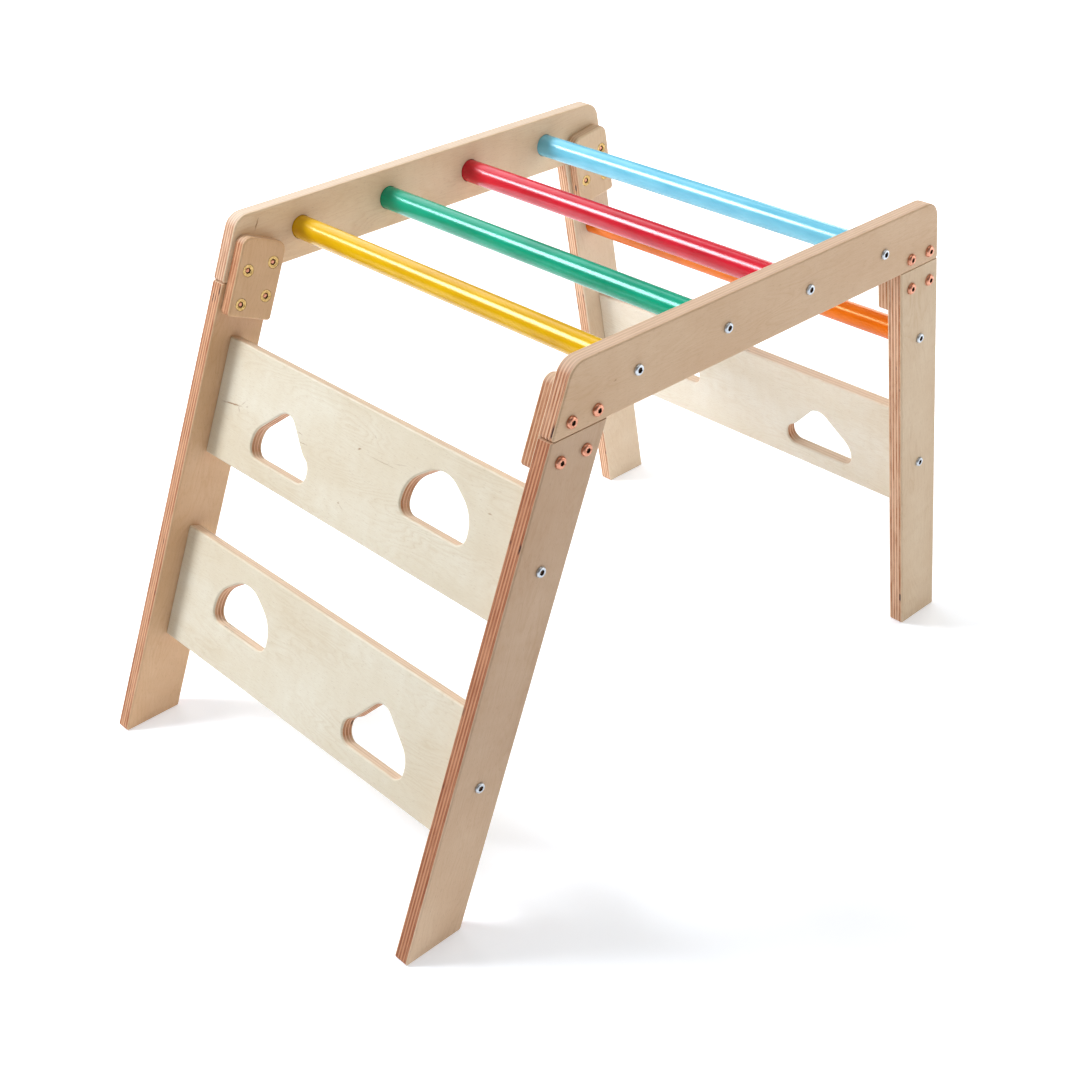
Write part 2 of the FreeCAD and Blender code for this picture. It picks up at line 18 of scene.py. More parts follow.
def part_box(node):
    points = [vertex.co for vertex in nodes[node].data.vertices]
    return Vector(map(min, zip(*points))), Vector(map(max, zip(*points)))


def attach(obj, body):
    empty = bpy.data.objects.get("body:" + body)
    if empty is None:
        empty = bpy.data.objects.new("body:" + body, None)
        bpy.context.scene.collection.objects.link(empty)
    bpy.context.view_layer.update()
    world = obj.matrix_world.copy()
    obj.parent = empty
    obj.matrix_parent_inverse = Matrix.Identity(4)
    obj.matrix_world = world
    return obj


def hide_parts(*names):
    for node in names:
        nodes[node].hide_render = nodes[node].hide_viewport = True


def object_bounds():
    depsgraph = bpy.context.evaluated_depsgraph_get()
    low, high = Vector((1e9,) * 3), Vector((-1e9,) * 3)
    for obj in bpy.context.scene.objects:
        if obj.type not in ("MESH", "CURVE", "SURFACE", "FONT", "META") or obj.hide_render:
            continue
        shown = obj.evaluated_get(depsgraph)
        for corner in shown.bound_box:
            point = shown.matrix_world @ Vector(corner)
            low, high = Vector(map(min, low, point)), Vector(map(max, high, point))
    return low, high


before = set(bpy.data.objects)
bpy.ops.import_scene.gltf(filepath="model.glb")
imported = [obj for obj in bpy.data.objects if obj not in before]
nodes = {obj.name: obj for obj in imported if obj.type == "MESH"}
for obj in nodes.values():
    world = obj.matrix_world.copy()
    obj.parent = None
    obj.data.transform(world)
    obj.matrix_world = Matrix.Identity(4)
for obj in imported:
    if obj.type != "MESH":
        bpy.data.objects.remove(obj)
cad_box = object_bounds()
print(len(nodes), "CAD nodes, size", [round(high - low, 4) for low, high in zip(*cad_box)])

# %% [markdown]
# ## The frame's own directions
#
# Plywood has a grain direction, so each board's material needs to know how that board lies. A leg's grain runs up
# its slope, a rail's grain runs from front to back, and a panel's grain runs across between the legs. Three angles
# describe all of it: level, the front legs' lean and the rear legs' lean. The lean is named once here, as a
# direction up the slope and a direction straight out of the ladder's face.

# %% Directions and units
MM = 0.001
ACROSS = Vector((1, 0, 0))
ALONG = Vector((0, 1, 0))
FRONT_LEAN = math.radians(22.9)
REAR_LEAN = math.radians(-9.4)


def up_the_slope(lean):
    """The direction up a leg that leans by this angle towards the middle of the frame."""
    return Vector((0, math.sin(lean), math.cos(lean)))


def out_of_the_slope(lean):
    """The direction square to that leg, out of the face that a child climbs."""
    side = -1 if lean > 0 else 1
    return side * Vector((0, math.cos(lean), -math.sin(lean)))


def middle_of(name):
    """The middle of a CAD node's box."""
    low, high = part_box(name)
    return (low + high) / 2


print("front slope", up_the_slope(FRONT_LEAN)[:], "rear slope", up_the_slope(REAR_LEAN)[:])

# %% [markdown]
# ## Small helpers for materials
#
# Paint and timber charts give colours as sRGB hex values, while a shader adds light in linear values, so one
# function turns the first into the second. Another adds a node: it sets the node's settings, fills its sockets, and
# links any socket whose value is another node. Two more start a material and give it a space in real millimetres,
# so that every pattern below can be given its true size. All the materials are built from these.

# %% Helpers for materials


def linear(hex_colour):
    """An sRGB hex colour as linear RGBA."""
    values = [int(hex_colour[i : i + 2], 16) / 255 for i in (0, 2, 4)]
    return (*[v / 12.92 if v <= 0.04045 else ((v + 0.055) / 1.055) ** 2.4 for v in values], 1.0)


def fill_sockets(tree, node, inputs):
    """Give each socket its value, or a link from another socket or from another node's first live output."""
    for socket, value in inputs.items():
        if isinstance(value, bpy.types.Node):
            value = next(output for output in value.outputs if output.enabled)
        if isinstance(value, bpy.types.NodeSocket):
            tree.links.new(value, node.inputs[socket])
        else:
            node.inputs[socket].default_value = value


def add_node(tree, kind, inputs=None, stops=None, **settings):
    """Add a node with its settings and sockets. stops are a colour ramp's (place, colour) pairs."""
    made = tree.nodes.new("ShaderNode" + kind)
    for key, value in settings.items():
        setattr(made, key, value)
    if stops:
        ramp = made.color_ramp
        while len(ramp.elements) < len(stops):
            ramp.elements.new(1.0)
        for element, (place, colour) in zip(ramp.elements, stops):
            element.position = place
            element.color = colour
    fill_sockets(tree, made, inputs or {})
    return made


def new_material(name):
    """A new material, its node tree and its shader."""
    material = bpy.data.materials.new(name)
    material.use_nodes = True
    tree = material.node_tree
    return material, tree, tree.nodes["Principled BSDF"]


def in_millimetres(tree, centre=(0.0, 0.0, 0.0), turn=(0.0, 0.0, 0.0)):
    """Object coordinates as millimetres from a centre, along axes with this Euler turn."""
    coords = add_node(tree, "TexCoord")
    space = {"Vector": coords.outputs["Object"], "Location": centre, "Rotation": turn, "Scale": (MM, MM, MM)}
    return add_node(tree, "Mapping", space, vector_type="TEXTURE")


def per_mm(along, across, through=math.inf):
    """What to multiply millimetres by, for a noise pattern of this size."""
    return (1 / along, 1 / across, 1 / through)


def grey(value):
    """A grey for a ramp that makes a number."""
    return (value, value, value, 1.0)


# Mix nodes keep a socket for each kind of data, so their sockets are reached by number. Math nodes take their
# numbers in sockets 0, 1 and 2. Map Range nodes take the value in 0, its range in 1 and 2, and the new range in 3
# and 4, which is 0 to 1 if nothing is given. A noise pattern seldom leaves 0.3 to 0.7, so that is its range.
MIX_FACTOR, MIX_A, MIX_B = 0, 6, 7
MIX_FLOAT_A, MIX_FLOAT_B = 2, 3
NOISE = {1: 0.3, 2: 0.7}

# %% [markdown]
# ## Birch plywood
#
# On the real frame every flat part is birch plywood with a clear water-based lacquer: rotary-cut veneers, glued
# with their grain turned at each layer. A face shows one veneer, pale and silky, with wandering growth lines
# because the knife peels round the log. An edge shows all the veneers as stripes. Half of them show long grain and
# look pale, and half show end grain, which drinks the lacquer and looks brown, with a thin dark glue line between
# them and now and then a gap where a core veneer has split. Real veneers are about 1.4 mm thick. Here they are
# about 2 mm, because thinner stripes blur into each other at this distance.
#
# It could be done with one picture for faces and one for edges, but a rounded edge cuts through the layers, and
# only a solid pattern shows that. So the pattern is worked out in the board's own space in millimetres: along the
# grain, across it, and down through the layers. The depth below the nearer face picks the veneer.
#
# The work comes in parts, a cell for each: the layers, the face, its marks, the inner veneers and the whole.

# %% The board's space and its layers

# In mm: the size of the layers' slow sway, and how far they sway.
SWAY_SIZE, SWAY = (90.0, 30.0), 0.35
# In mm: how much thicker or thinner a veneer may be. Then the waves of that, as radians for each mm and a start.
UNEVEN, UNEVEN_WAVE, UNEVEN_START = 0.3, 1.1, 0.6


def board_space(tree, centre, grain, face):
    """The board's own millimetres: along the grain, across it, and through the board from its middle."""
    turn = Matrix((grain, face.cross(grain), face)).transposed().to_euler()
    return in_millimetres(tree, centre, turn)


def layers(tree, board, thickness, veneer):
    """Which veneer a point is in, counted from the nearer face, and how many mm it is from a glue line."""
    axes = add_node(tree, "SeparateXYZ", {0: board})
    slow = add_node(tree, "VectorMath", {0: board, 1: per_mm(*SWAY_SIZE)}, operation="MULTIPLY")
    sway = add_node(tree, "TexNoise", {"Vector": slow, "Scale": 1.0, "Detail": 1.0})
    drift = add_node(tree, "MapRange", {0: sway, 3: -SWAY, 4: SWAY})
    off_middle = add_node(tree, "Math", {0: axes.outputs["Z"]}, operation="ABSOLUTE")
    depth = add_node(tree, "Math", {0: thickness / 2, 1: off_middle}, operation="SUBTRACT")
    # No two veneers are quite as thick, so the depth is stretched a little as it goes down.
    wave = {0: off_middle, 1: UNEVEN_WAVE, 2: UNEVEN_START}
    wave = add_node(tree, "Math", wave, operation="MULTIPLY_ADD")
    uneven = add_node(tree, "Math", {0: wave}, operation="SINE")
    stretched = add_node(tree, "Math", {0: uneven, 1: UNEVEN, 2: depth}, operation="MULTIPLY_ADD")
    drifted = add_node(tree, "Math", {0: stretched, 1: drift}, operation="ADD")
    count = add_node(tree, "Math", {0: drifted, 1: veneer}, operation="DIVIDE")
    number = add_node(tree, "Math", {0: count}, operation="FLOOR")
    nearest = add_node(tree, "Math", {0: drifted, 1: veneer}, operation="PINGPONG")
    return axes, count, number, nearest


print("layers sway by", SWAY, "mm and are uneven by", UNEVEN, "mm")

# %% [markdown]
# ## The face veneer
#
# A face is one sheet peeled from a log. Its growth lines wander like the contour lines of a map, so they are made
# as a map's are: a slow field, long along the grain, and a line wherever the field passes a whole number. Real faces
# also have fine fibres, short dark pores and silky bands. Each is a noise pattern stretched to its real size.

# %% The face veneer

# Sizes in mm, along the grain and across it.
FIGURE_SIZE, PATCH_SIZE, SILK_SIZE = (240.0, 48.0), (110.0, 40.0), (16.0, 48.0)
# Fibres are about 0.1 mm wide, which is too fine to show, so they're drawn 0.4 mm wide.
FIBRE_SIZE = (14.0, 0.4)
# Pores are cut lengthwise into short dark dashes, 2 to 5 mm long.
PORE_SIZE = (5.0, 0.5)
# How many growth lines the field gives from its lowest to its highest value.
RINGS = 24.0
# The most that each pattern changes the colour, from 0 for none to 1 for all.
WARM_PATCHES, SILK_DEPTH, LINE_DEPTH, FIBRE_DEPTH, PORE_DEPTH = 0.8, 0.3, 0.4, 0.3, 0.35
# The sheets are taken from places this many mm apart in the pattern.
FACE_JUMP, BOARD_JUMP = 310.0, 97.0
# A growth line rises slowly over a year's growth and ends sharply: (place in the year, darkness).
YEAR = ((0.0, 0.3), (0.35, 0.0), (0.8, 0.55), (0.92, 1.0), (1.0, 0.3))


def face_veneer(tree, board, axes, tones, seed):
    """Colour and relief of a rotary-cut birch face, and the coordinates that its fibres follow."""
    # Each face of a board is its own sheet of veneer, so the pattern jumps from one face to the other.
    side = add_node(tree, "Math", {0: axes.outputs["Z"]}, operation="SIGN")
    jump = add_node(tree, "Math", {0: side, 1: FACE_JUMP, 2: seed * BOARD_JUMP}, operation="MULTIPLY_ADD")
    shift = add_node(tree, "CombineXYZ", {0: jump, 1: jump})
    sheet = add_node(tree, "VectorMath", {0: board, 1: shift}, operation="ADD")

    long_field = add_node(tree, "VectorMath", {0: sheet, 1: per_mm(*FIGURE_SIZE)}, operation="MULTIPLY")
    field = add_node(tree, "TexNoise", {"Vector": long_field, "Scale": 1.0, "Detail": 3.0, "Roughness": 0.48})
    rings = add_node(tree, "Math", {0: field, 1: RINGS}, operation="MULTIPLY")
    ring = add_node(tree, "Math", {0: rings}, operation="FRACT")
    late = add_node(tree, "ValToRGB", {0: ring}, stops=[(place, grey(dark)) for place, dark in YEAR])
    # The lines are strong in some patches and nearly gone in others.
    patches = add_node(tree, "VectorMath", {0: sheet, 1: per_mm(*PATCH_SIZE)}, operation="MULTIPLY")
    patch = add_node(tree, "TexNoise", {"Vector": patches, "Scale": 1.0, "Detail": 1.0})
    strong = add_node(tree, "MapRange", {0: patch, 1: 0.36, 2: 0.7, 3: 0.06, 4: 0.8})
    lines = add_node(tree, "Math", {0: late, 1: strong}, operation="MULTIPLY")

    thin = add_node(tree, "VectorMath", {0: sheet, 1: per_mm(*FIBRE_SIZE)}, operation="MULTIPLY")
    fibre = add_node(tree, "TexNoise", {"Vector": thin, "Scale": 1.0, "Detail": 3.0, "Roughness": 0.6})
    dashes = add_node(tree, "VectorMath", {0: sheet, 1: per_mm(*PORE_SIZE)}, operation="MULTIPLY")
    dash = add_node(tree, "TexNoise", {"Vector": dashes, "Scale": 1.0, "Detail": 1.0})
    pore = add_node(tree, "MapRange", {0: dash, 1: 0.64, 2: 0.74})
    # The silky bands across the grain, where the fibres dip in and out of the face.
    silk_field = add_node(tree, "VectorMath", {0: sheet, 1: per_mm(*SILK_SIZE)}, operation="MULTIPLY")
    silk = add_node(tree, "TexNoise", {"Vector": silk_field, "Scale": 1.0, "Detail": 2.0})
    cloud = add_node(tree, "TexNoise", {"Vector": patches, "Scale": 0.6, "Detail": 2.0})

    pale, warm, line, dark = tones
    tone = add_node(tree, "MapRange", {0: cloud, 1: 0.3, 2: 0.75, 4: WARM_PATCHES})
    ground = add_node(tree, "Mix", {MIX_FACTOR: tone, MIX_A: pale, MIX_B: warm}, data_type="RGBA")
    soft = add_node(tree, "MapRange", {0: silk, **NOISE, 4: SILK_DEPTH})
    shimmer = add_node(tree, "Mix", {MIX_FACTOR: soft, MIX_A: ground, MIX_B: warm}, data_type="RGBA")
    line_depth = add_node(tree, "Math", {0: lines, 1: LINE_DEPTH}, operation="MULTIPLY")
    lined = add_node(tree, "Mix", {MIX_FACTOR: line_depth, MIX_A: shimmer, MIX_B: line}, data_type="RGBA")
    streak = add_node(tree, "MapRange", {0: fibre, 1: 0.4, 2: 0.75, 4: FIBRE_DEPTH})
    streaked = add_node(tree, "Mix", {MIX_FACTOR: streak, MIX_A: lined, MIX_B: line}, data_type="RGBA")
    pore_depth = add_node(tree, "Math", {0: pore, 1: PORE_DEPTH}, operation="MULTIPLY")
    colour = add_node(tree, "Mix", {MIX_FACTOR: pore_depth, MIX_A: streaked, MIX_B: dark}, data_type="RGBA")
    relief = add_node(tree, "Math", {0: fibre, 1: pore_depth}, operation="SUBTRACT")
    return colour, relief, sheet


print("face figure", FIGURE_SIZE, "mm, fibres", FIBRE_SIZE, "mm")

# %% [markdown]
# ## Knots, splits and streaks
#
# Real veneer isn't blank: a pin knot here, a hairline split there, a brown mineral streak somewhere else. A few of
# them make a board look like one piece of one tree. They could come from a random pattern, but a person remembers
# where a board's mark is, so each is listed one by one: where it sits on the face, which way it runs, how long and
# how wide it is. A mark is a wobbly line that darkens the colours under it.

# %% Marks on the veneer

# How a mark wobbles: the wobbles for each mm, then how far it bends along and across, in halves of its own size.
CRUMPLE, BEND = (0.22, 0.4, 0.0), (0.6, 2.2, 0.0)
# A mark reaches this many mm into the board.
MARK_REACH = 4.0
# It starts to show this far from its middle, and is at its darkest by this far, in halves of its own size.
MARK_EDGE, MARK_CORE = 1.15, 0.3


def add_marks(tree, sheet, board, half_thickness, colour, marks, dark):
    """Darken the colour under each mark in the board's list."""
    crumple = add_node(tree, "VectorMath", {0: sheet, 1: CRUMPLE}, operation="MULTIPLY")
    wobble = add_node(tree, "TexNoise", {"Vector": crumple, "Scale": 1.0, "Detail": 2.0})
    shaken = add_node(tree, "VectorMath", {0: wobble.outputs["Color"], 1: (0.5, 0.5, 0.5)}, operation="SUBTRACT")
    for along, across, side, angle, length, width, depth in marks:
        # The third axis is short, so that the mark keeps to its own face.
        place = {
            "Vector": board,
            "Location": (along, across, side * half_thickness),
            "Rotation": (0.0, 0.0, math.radians(angle)),
            "Scale": (length / 2, width / 2, MARK_REACH),
        }
        local = add_node(tree, "Mapping", place, vector_type="TEXTURE")
        bent = add_node(tree, "VectorMath", {0: shaken, 1: BEND, 2: local}, operation="MULTIPLY_ADD")
        away = add_node(tree, "VectorMath", {0: bent}, operation="LENGTH")
        inside = add_node(tree, "MapRange", {0: away.outputs["Value"], 1: MARK_EDGE, 2: MARK_CORE, 4: depth})
        colour = add_node(tree, "Mix", {MIX_FACTOR: inside, MIX_A: colour, MIX_B: dark}, data_type="RGBA")
    return colour


print("a mark reaches", MARK_REACH, "mm into the board")

# %% [markdown]
# ## The inner veneers
#
# An edge shows each inner veneer as a stripe, and every second one is turned and shows brown end grain. A stripe's
# tone drifts slowly along the edge. So that two stripes don't drift together, each veneer's number moves its pattern
# away from its neighbours'. The glue lines and gaps come last, over the wood.

# %% The inner veneers

# Sizes in mm, along the grain, across it and through the board.
STRIPE_SIZE, GAP_SIZE = (34.0, 34.0, 9.0), (26.0, 26.0, 30.0)
# Grit and fibre ends, as specks for each mm.
SPECKS = (1.3, 1.3, 2.2)
# The patterns of two veneers, and of two boards, are this many mm apart.
VENEER_JUMP, EDGE_JUMP = 37.3, 11.0
# How much browner a turned veneer is, the most that the tone drifts each way, and the most that the specks add.
TURNED_BROWN, TONE_DRIFT, SPECK_DRIFT = 0.72, (-0.42, 0.46), (-0.16, 0.16)
# A glue line is about 0.1 mm wide, and is drawn 0.3 mm wide so that it shows: (edge, core) in mm, then its strength.
GLUE_LINE, GLUE_DEPTH = (0.32, 0.05), 0.75
# How much of the top-light tone an edge takes when it faces up: painted light, paler where light falls from above.
PAINTED_TOP_LIGHT = 0.65


def inner_veneers(tree, board, number, nearest, edge_tones, seed):
    """Colour and relief of the stripes that an edge shows."""
    pale, brown, glue, gap, top_light_tone = edge_tones
    turned = add_node(tree, "Math", {0: number, 1: 2.0}, operation="MODULO")
    own = add_node(tree, "Math", {0: number, 1: VENEER_JUMP, 2: seed * EDGE_JUMP}, operation="MULTIPLY_ADD")
    apart = add_node(tree, "CombineXYZ", {0: own, 1: own, 2: own})
    moved = add_node(tree, "VectorMath", {0: board, 1: apart}, operation="ADD")
    slow = add_node(tree, "VectorMath", {0: moved, 1: per_mm(*STRIPE_SIZE)}, operation="MULTIPLY")
    tone = add_node(tree, "TexNoise", {"Vector": slow, "Scale": 1.0, "Detail": 3.0, "Roughness": 0.6})
    grain = add_node(tree, "VectorMath", {0: moved, 1: SPECKS}, operation="MULTIPLY")
    speck = add_node(tree, "TexNoise", {"Vector": grain, "Scale": 1.0, "Detail": 2.0})

    swing = add_node(tree, "MapRange", {0: tone, **NOISE, 3: TONE_DRIFT[0], 4: TONE_DRIFT[1]})
    share = add_node(tree, "Math", {0: turned, 1: TURNED_BROWN, 2: swing}, operation="MULTIPLY_ADD")
    freckle = {0: speck, **NOISE, 3: SPECK_DRIFT[0], 4: SPECK_DRIFT[1]}
    freckle = add_node(tree, "MapRange", freckle)
    mixed = add_node(tree, "Math", {0: share, 1: freckle}, operation="ADD", use_clamp=True)
    wood = add_node(tree, "Mix", {MIX_FACTOR: mixed, MIX_A: pale, MIX_B: brown}, data_type="RGBA")

    joint = add_node(tree, "MapRange", {0: nearest, 1: GLUE_LINE[0], 2: GLUE_LINE[1], 4: GLUE_DEPTH})
    glued = add_node(tree, "Mix", {MIX_FACTOR: joint, MIX_A: wood, MIX_B: glue}, data_type="RGBA")
    # A gap runs along one turned veneer for 5 to 20 mm.
    runs = add_node(tree, "VectorMath", {0: moved, 1: per_mm(*GAP_SIZE)}, operation="MULTIPLY")
    run = add_node(tree, "TexNoise", {"Vector": runs, "Scale": 1.0, "Detail": 1.0})
    open_here = add_node(tree, "MapRange", {0: run, 1: 0.70, 2: 0.74})
    middle = add_node(tree, "MapRange", {0: nearest, 1: 0.25, 2: 0.5})
    hollow = add_node(tree, "Math", {0: open_here, 1: middle}, operation="MULTIPLY")
    hollow = add_node(tree, "Math", {0: hollow, 1: turned}, operation="MULTIPLY")
    colour = add_node(tree, "Mix", {MIX_FACTOR: hollow, MIX_A: glued, MIX_B: gap}, data_type="RGBA")
    # Edges that face up get paler stripes, as painted light from above.
    facing = add_node(tree, "NewGeometry")
    upward = add_node(tree, "SeparateXYZ", {0: facing.outputs["Normal"]})
    painted_top_light = add_node(tree, "MapRange", {0: upward.outputs["Z"], 1: 0.5, 2: 0.95, 4: PAINTED_TOP_LIGHT})
    colour = add_node(tree, "Mix", {MIX_FACTOR: painted_top_light, MIX_A: colour, MIX_B: top_light_tone}, data_type="RGBA")
    # End grain sands lower than long grain, and a gap is deeper still.
    low = add_node(tree, "Math", {0: turned, 1: -0.5, 2: speck}, operation="MULTIPLY_ADD")
    relief = add_node(tree, "Math", {0: hollow, 1: -3.0, 2: low}, operation="MULTIPLY_ADD")
    return colour, relief


print("glue lines", GLUE_LINE[0], "mm to each side")

# %% [markdown]
# ## The whole plywood material
#
# The first veneer down from either face has the face's colour and relief, and all below it have the edge's, so a
# rounded edge shows where the sander has cut through. A lacquered face is silky, while an edge soaks the lacquer up
# and stays matt.

# %% The whole plywood material

# (pale wood, warm wood, growth lines and fibres, pores and knots)
FACE_TONES = ("EBDFCB", "DDC9AC", "C9AA82", "9C7148")
# The side boards' tones are warmer and darker than the panels': partly their own wood, partly painted shade, as
# their outer faces stand in shade.
SIDE_TONES_WITH_PAINTED_SHADE = ("E2CBAD", "D2B390", "BE9669", "916440")
# (long grain, end grain, glue, gaps, paler tone for edges that face up as painted light)
EDGE_TONES = ("DDB492", "A5683F", "6A3C28", "3C2218", "D8CAB2")
# The roughness of a lacquered face at its smoothest and roughest, and how much rougher an edge is.
FACE_ROUGHNESS, EDGE_ROUGHER = (0.42, 0.56), 0.14
FIBRE_RELIEF_MM = 0.12


def tinted(tones, tint):
    """Hex tones as linear colours, each channel multiplied by the board's own tint."""
    return [(*[value * share for value, share in zip(linear(tone), tint)], 1.0) for tone in tones]


def pale_with_painted_light(tree, along, colour, start, end, painted_light_tint):
    """Multiply the colour by a paler tint, more and more from the start to the end, in mm along the board: painted
    light.
    """
    share = add_node(tree, "MapRange", {0: along, 1: start, 2: end})
    paler = {MIX_FACTOR: share, MIX_A: grey(1.0), MIX_B: (*painted_light_tint, 1.0)}
    paler = add_node(tree, "Mix", paler, data_type="RGBA")
    both = {MIX_FACTOR: 1.0, MIX_A: colour, MIX_B: paler}
    return add_node(tree, "Mix", both, data_type="RGBA", blend_type="MULTIPLY")


def birch_plywood(name, centre, grain, face, thickness, veneers, seed, tones, tint, marks, drift):
    """Sanded birch plywood under clear water-based lacquer: silky faces, matt striped edges."""
    material, tree, shader = new_material(name)
    board = board_space(tree, centre, grain, face)
    axes, count, number, nearest = layers(tree, board, thickness, thickness / veneers)
    tones, edge_tones = tinted(tones, tint[0]), tinted(EDGE_TONES, tint[1])
    outside, fibre, sheet = face_veneer(tree, board, axes, tones, seed)
    # On the front right leg, a paling towards the foot is painted light thrown up by the floor.
    if drift:
        outside = pale_with_painted_light(tree, axes.outputs["X"], outside, *drift)
    outside = add_marks(tree, sheet, board, thickness / 2, outside, marks, tones[3])
    inside, grit = inner_veneers(tree, board, number, nearest, edge_tones, seed)
    # The change from the first veneer to the second is a tenth of a veneer deep to each side.
    core = add_node(tree, "MapRange", {0: count, 1: 0.9, 2: 1.1})
    colour = add_node(tree, "Mix", {MIX_FACTOR: core, MIX_A: outside, MIX_B: inside}, data_type="RGBA")
    height = {MIX_FACTOR: core, MIX_FLOAT_A: fibre, MIX_FLOAT_B: grit}
    height = add_node(tree, "Mix", height, data_type="FLOAT")
    smooth, roughest = FACE_ROUGHNESS
    rough = add_node(tree, "MapRange", {0: fibre, **NOISE, 3: smooth, 4: roughest})
    matt = add_node(tree, "Math", {0: core, 1: EDGE_ROUGHER, 2: rough}, operation="MULTIPLY_ADD")
    bump = add_node(tree, "Bump", {"Strength": 0.35, "Distance": FIBRE_RELIEF_MM * MM, "Height": height})
    look = {"Base Color": colour, "Roughness": matt, "Normal": bump, "IOR": 1.5, "Specular IOR Level": 0.35}
    fill_sockets(tree, shader, look)
    return material


print("plywood relief", FIBRE_RELIEF_MM, "mm, roughness", FACE_ROUGHNESS)

# %% [markdown]
# ## Which board has which wood
#
# A rail is cut lengthwise from its sheet, and so is a leg, so their grain runs along them. The gussets are small
# offcuts with the grain up the leg. The panels' grain runs across the frame. One table says how each board lies.

# %% How each board lies

# (thickness in mm, number of veneers)
SIDE_PLY, PANEL_PLY = (18.0, 9), (15.0, 7)

# name: (direction of the grain, direction of the face, thickness, veneers, tones)
boards = {}
for side_name in ("left", "right"):
    boards["rail_" + side_name] = (ALONG, ACROSS, *SIDE_PLY, SIDE_TONES_WITH_PAINTED_SHADE)
    for end_name, lean in (("front", FRONT_LEAN), ("rear", REAR_LEAN)):
        slope = up_the_slope(lean)
        boards[f"leg_{end_name}_{side_name}"] = (slope, ACROSS, *SIDE_PLY, SIDE_TONES_WITH_PAINTED_SHADE)
        boards[f"gusset_{end_name}_{side_name}"] = (slope, ACROSS, *PANEL_PLY, SIDE_TONES_WITH_PAINTED_SHADE)
for panel_name, lean in (("front_upper", FRONT_LEAN), ("front_lower", FRONT_LEAN), ("rear", REAR_LEAN)):
    boards["panel_" + panel_name] = (ACROSS, out_of_the_slope(lean), *PANEL_PLY, FACE_TONES)
print(len(boards), "boards")

# %% [markdown]
# ## Each board's tint, painted light and marks
#
# A frame is cut from many sheets, so no two boards are quite the same colour. Each board gets a tint for its faces
# and one for its edges, which its tones are multiplied by, and a seed of its own, so no two faces repeat. The front
# right leg also turns paler towards its foot: painted light thrown up by the floor. Another table places the knots,
# splits and streaks.
#
# The tints were matched with these lights on, so they hold painted light and shade as well as the wood's own tone.
# The front left leg and its gusset are browner, as painted shade for a warm shadow inside them, and the left rail
# and the rear left leg are paler, as painted light. The front right leg is darker, partly as painted shade, and the
# front right gusset's edges are darker as painted shade.

# %% Plywood on the boards

# (tint of the faces, tint of the edges), as multipliers of red, green and blue. Some hold painted light and shade,
# as noted.
SAME = (1.0, 1.0, 1.0)
PLAIN = (SAME, SAME)
BOARD_TINTS_AND_PAINTED_LIGHT = {
    "panel_front_upper": ((0.87, 0.90, 0.90), SAME),
    "panel_front_lower": ((0.88, 0.92, 0.93), SAME),
    "panel_rear": ((0.94, 0.98, 1.03), SAME),
    # Darker faces and edges: partly its own tone, partly painted shade.
    "leg_front_right": ((0.80, 0.73, 0.71), (0.74, 0.52, 0.41)),
    # Darker edges: painted shade.
    "gusset_front_right": (SAME, (0.85, 0.74, 0.66)),
    # Browner: painted shade, for the warm shadow inside it.
    "gusset_front_left": ((0.96, 0.83, 0.70), (0.86, 0.72, 0.60)),
    "gusset_rear_left": ((1.05, 1.03, 1.0), (0.95, 0.88, 0.8)),
    "rail_right": ((0.92, 0.85, 0.80), (0.90, 0.80, 0.75)),
    # Paler: painted light.
    "rail_left": ((1.14, 1.16, 1.18), (0.98, 0.98, 1.0)),
    # Paler: painted light.
    "leg_rear_left": ((1.06, 1.14, 1.24), (1.1, 1.12, 1.14)),
    # Browner: painted shade, for the warm shadow inside it.
    "leg_front_left": ((0.96, 0.84, 0.74), (0.88, 0.74, 0.64)),
    "leg_rear_right": ((0.95, 0.97, 0.98), (1.0, 1.0, 1.02)),
}

# Painted light thrown up by the floor: (mm along the board where the paling starts, where it ends, how much paler in
# red, green and blue)
PAINTED_FLOOR_LIGHT = {"leg_front_right": (-40.0, -230.0, (1.34, 1.42, 1.48))}

MARKS = {
    # (mm along from the middle, mm across, face side, angle in degrees, length, width, darkness from 0 to 1)
    "panel_front_upper": [
        (-205.0, -1.5, 1, 8, 34.0, 1.9, 0.95),
        (-187.0, 5.0, 1, 45, 11.0, 1.2, 0.4),
        (-192.0, -3.0, 1, -58, 7.0, 1.3, 0.7),
        (-180.0, 3.5, 1, 20, 3.0, 1.6, 0.6),
        (-90.0, 6.5, 1, -6, 9.0, 1.1, 0.6),
        (-83.0, -1.5, 1, 4, 16.0, 1.1, 0.55),
        (-1.0, 22.0, 1, 25, 6.0, 2.0, 0.9),
        (35.0, 21.3, 1, 2, 46.0, 1.1, 0.42),
        (59.0, 27.8, 1, 14, 20.0, 1.2, 0.3),
        (-12.5, -37.5, 1, 0, 4.0, 2.0, 0.6),
        (-7.0, -40.0, 1, -25, 9.0, 1.0, 0.35),
        (17.0, 40.5, 1, -35, 4.5, 1.2, 0.45),
        (182.5, 27.3, 1, 10, 6.0, 1.6, 0.65),
    ],
    "rail_left": [(-226.7, 18.9, 1, 63, 13.5, 2.2, 0.95)],
    "rail_right": [(-200.2, 0.0, 1, 25, 4.0, 2.2, 0.6)],
}
for seed, (name, (grain, face, thickness, veneers, tones)) in enumerate(sorted(boards.items()), 1):
    own_look = (BOARD_TINTS_AND_PAINTED_LIGHT.get(name, PLAIN), MARKS.get(name, ()), PAINTED_FLOOR_LIGHT.get(name))
    nodes[name].material_slots[0].material = birch_plywood(
        "lacquered_birch_plywood_" + name, middle_of(name), grain, face, thickness, veneers, seed, tones, *own_look
    )
print("plywood on", len(boards), "boards")

